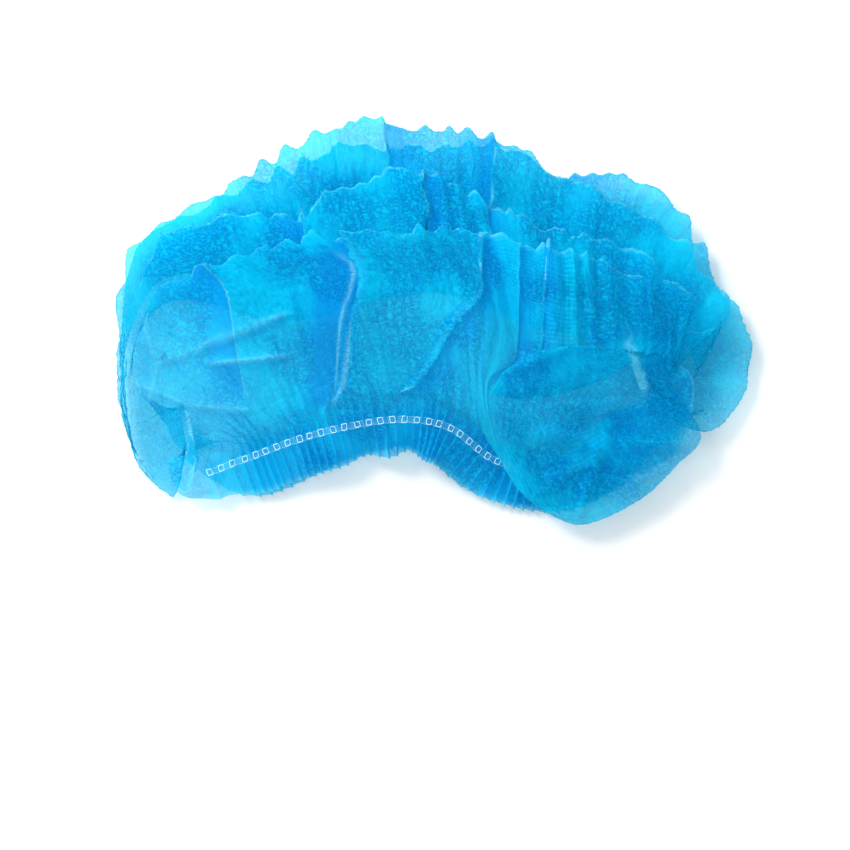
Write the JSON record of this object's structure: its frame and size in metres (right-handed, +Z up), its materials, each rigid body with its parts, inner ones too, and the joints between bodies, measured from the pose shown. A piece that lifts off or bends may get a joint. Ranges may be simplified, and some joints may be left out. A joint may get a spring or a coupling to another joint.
{
  "type": "disposable bouffant hairnet",
  "caption": "Disposable strip-type hairnet of gathered blue non-woven cloth, pulled open and lying flat, with an elastic in each edge and welded ends.",
  "frame": {"origin": "on the surface that the hairnet lies on, under the middle of its bounding box", "axes": "+X to the right along the elastics, +Y from the mouth towards the crown, +Z up"},
  "size_m": [0.2953, 0.1868, 0.0443],
  "materials": {
    "cloth": "thin translucent blue spun-bonded polypropylene, finely creased",
    "elastic": "narrow covered elastic yarn, pale blue-white, matt",
    "weld": "polypropylene cloth pressed and fused, satin"
  },
  "bodies": {
    "root": {"crown": "cloth", "front_elastic": "elastic", "back_elastic": "elastic", "left_end_weld": "weld", "right_end_weld": "weld"}
  },
  "joints": []
}
